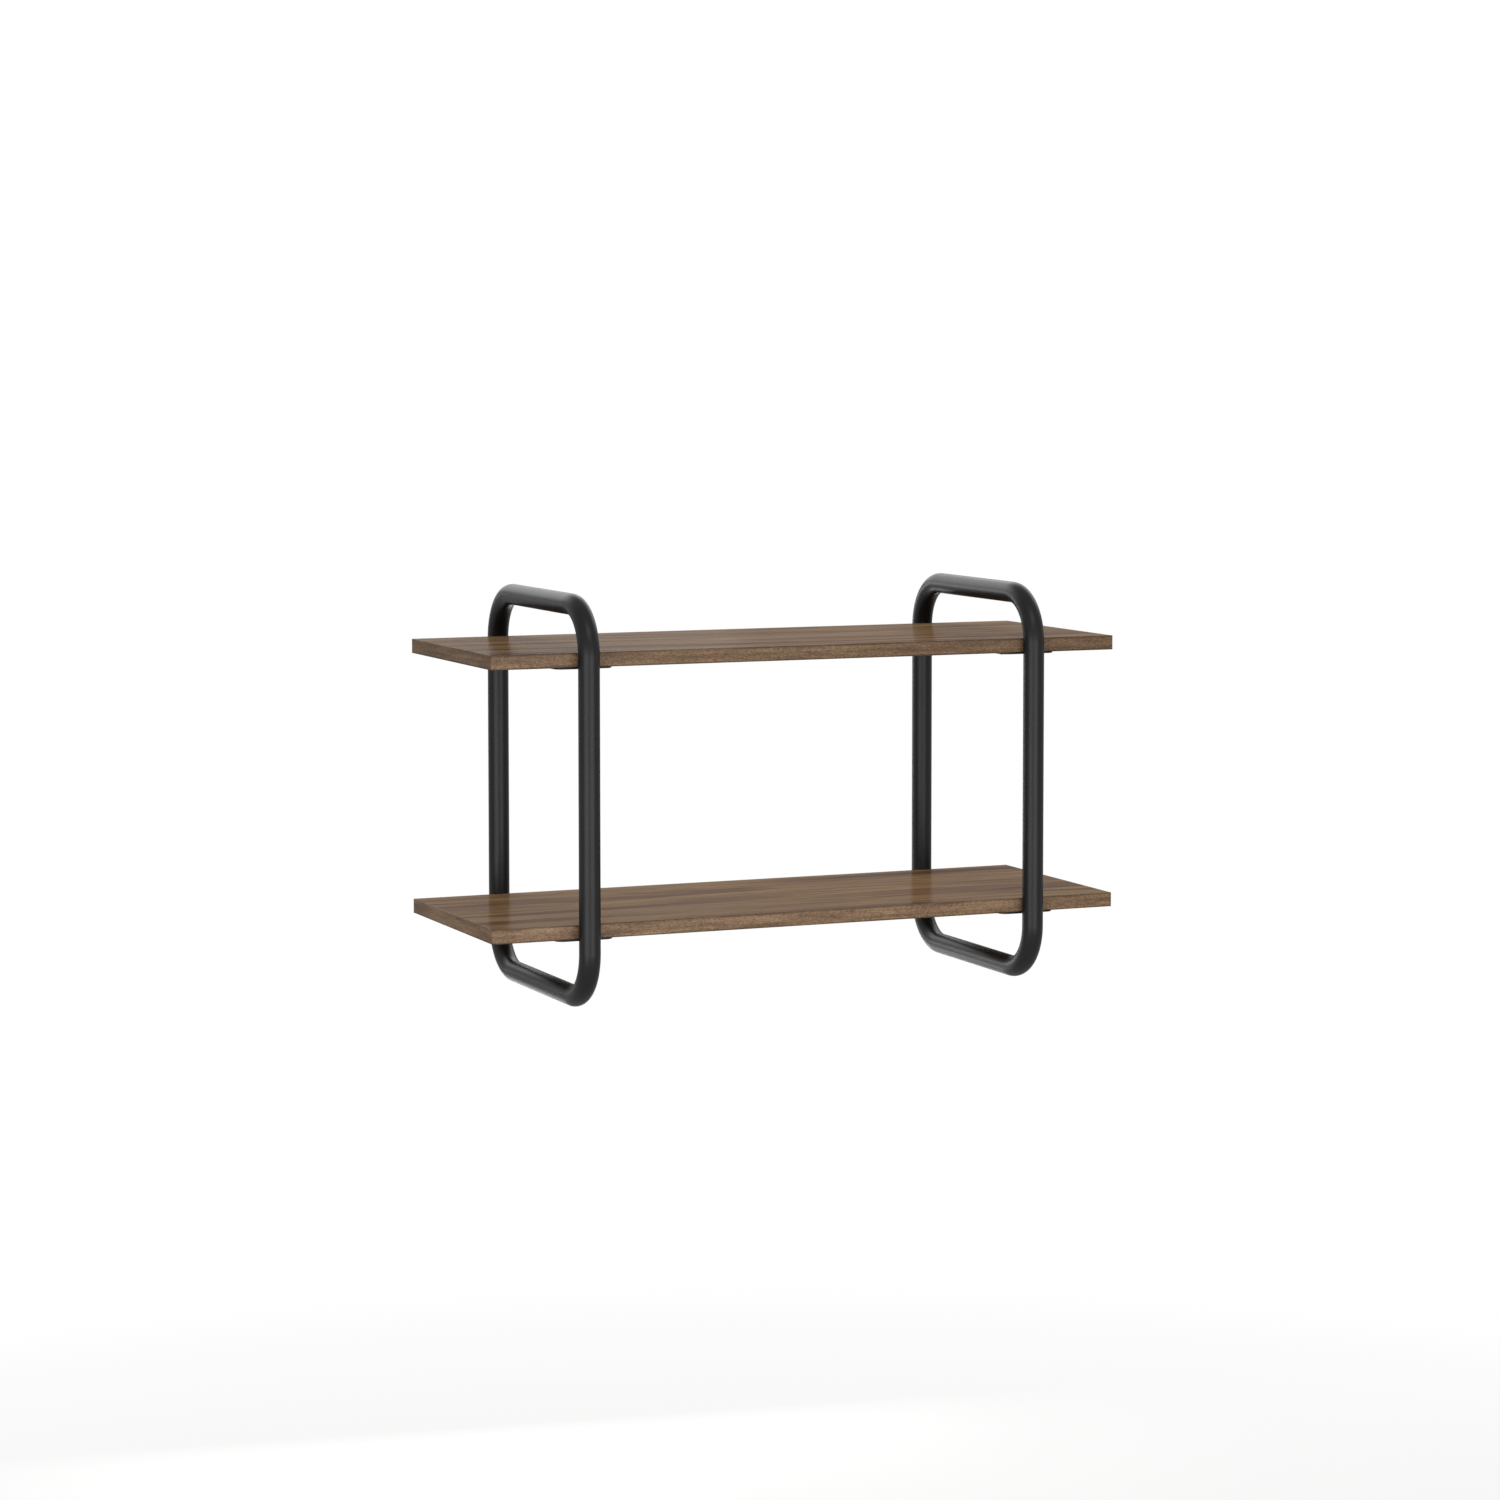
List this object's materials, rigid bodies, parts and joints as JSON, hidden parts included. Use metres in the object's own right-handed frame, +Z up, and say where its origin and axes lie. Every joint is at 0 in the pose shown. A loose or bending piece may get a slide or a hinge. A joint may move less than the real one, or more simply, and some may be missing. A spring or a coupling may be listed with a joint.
{
  "type": "wall shelf",
  "caption": "Wall shelf: walnut-look boards held between the uprights of closed round-tube loops, on plates welded to the tube, hung by keyholes in the rear uprights.",
  "frame": {"origin": "on the wall, midway between the left and right upper keyholes, at the height where the wall screws bear on the top of their slots", "axes": "+X to the right along the wall as seen from the room, +Y into the wall, +Z up"},
  "size_m": [0.7, 0.2949, 0.422],
  "materials": {
    "powder_coated_tube": "satin black powder coat on steel tube",
    "powder_coated_plate": "satin black powder coat on steel plate",
    "walnut_decor_board": "particle board with a semi-gloss walnut decor face",
    "walnut_edge_band": "walnut print edge band",
    "blackened_screw": "black zinc plated steel"
  },
  "bodies": {
    "root": {"left_frame_tube": "powder_coated_tube", "right_frame_tube": "powder_coated_tube", "left_upper_front_plate": "powder_coated_plate", "left_upper_rear_plate": "powder_coated_plate", "left_lower_front_plate": "powder_coated_plate", "left_lower_rear_plate": "powder_coated_plate", "right_upper_front_plate": "powder_coated_plate", "right_upper_rear_plate": "powder_coated_plate", "right_lower_front_plate": "powder_coated_plate", "right_lower_rear_plate": "powder_coated_plate", "upper_board_core": "walnut_decor_board", "upper_board_front_band": "walnut_edge_band", "upper_board_back_band": "walnut_edge_band", "upper_board_left_band": "walnut_edge_band", "upper_board_right_band": "walnut_edge_band", "lower_board_core": "walnut_decor_board", "lower_board_front_band": "walnut_edge_band", "lower_board_back_band": "walnut_edge_band", "lower_board_left_band": "walnut_edge_band", "lower_board_right_band": "walnut_edge_band", "upper_left_front_inner_screw": "blackened_screw", "upper_left_front_outer_screw": "blackened_screw", "upper_left_rear_inner_screw": "blackened_screw", "upper_left_rear_outer_screw": "blackened_screw", "upper_right_front_inner_screw": "blackened_screw", "upper_right_front_outer_screw": "blackened_screw", "upper_right_rear_inner_screw": "blackened_screw", "upper_right_rear_outer_screw": "blackened_screw", "lower_left_front_inner_screw": "blackened_screw", "lower_left_front_outer_screw": "blackened_screw", "lower_left_rear_inner_screw": "blackened_screw", "lower_left_rear_outer_screw": "blackened_screw", "lower_right_front_inner_screw": "blackened_screw", "lower_right_front_outer_screw": "blackened_screw", "lower_right_rear_inner_screw": "blackened_screw", "lower_right_rear_outer_screw": "blackened_screw"}
  },
  "joints": []
}
